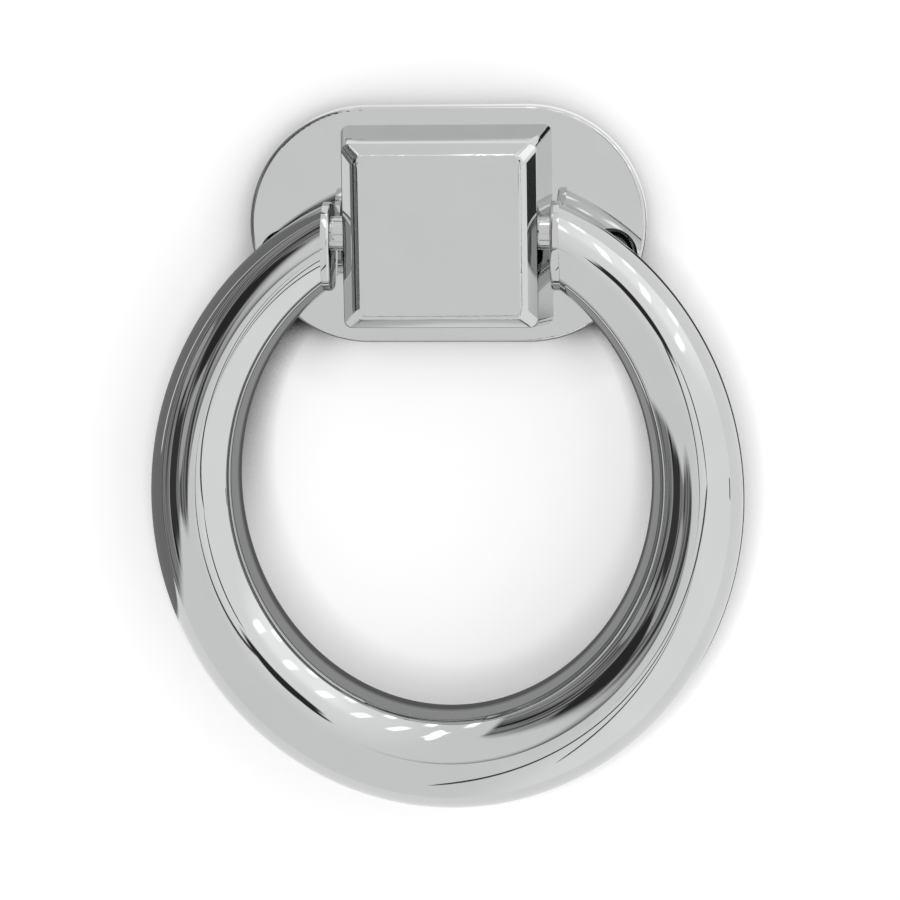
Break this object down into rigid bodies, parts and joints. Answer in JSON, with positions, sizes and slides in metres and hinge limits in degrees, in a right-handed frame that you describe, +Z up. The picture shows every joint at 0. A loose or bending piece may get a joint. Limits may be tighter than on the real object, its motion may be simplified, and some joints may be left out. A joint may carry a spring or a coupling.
{
  "type": "ring pull handle",
  "caption": "Chromed cabinet ring pull: an oblong screw-on backplate with a bevelled block, and an oval ring of tapering round bar that swings on pins in the block's sides.",
  "frame": {"origin": "middle of the backplate's back face, which lies on the drawer front", "axes": "+X to the right, +Y into the drawer front, +Z up; the ring hangs towards -Z and the front faces -Y"},
  "size_m": [0.0798, 0.018, 0.0947],
  "materials": {
    "plate_chrome": "polished chrome plate",
    "block_chrome": "polished chrome plate",
    "ring_chrome": "polished chrome plate",
    "pin_chrome": "turned and plated",
    "screw_steel": "zinc-plated steel"
  },
  "bodies": {
    "base": {"backplate": "plate_chrome", "mounting_block": "block_chrome", "block_screws": "screw_steel"},
    "swinging_ring": {"ring": "ring_chrome", "pivot_pin_left": "pin_chrome", "pivot_pin_right": "pin_chrome"}
  },
  "joints": [
    {"name": "ring_swing", "type": "hinge", "parent": "base", "child": "swinging_ring", "pos_m": [0, -0.011, 0], "axis": [-1, 0, 0], "range_deg": [-3, 183]}
  ]
}
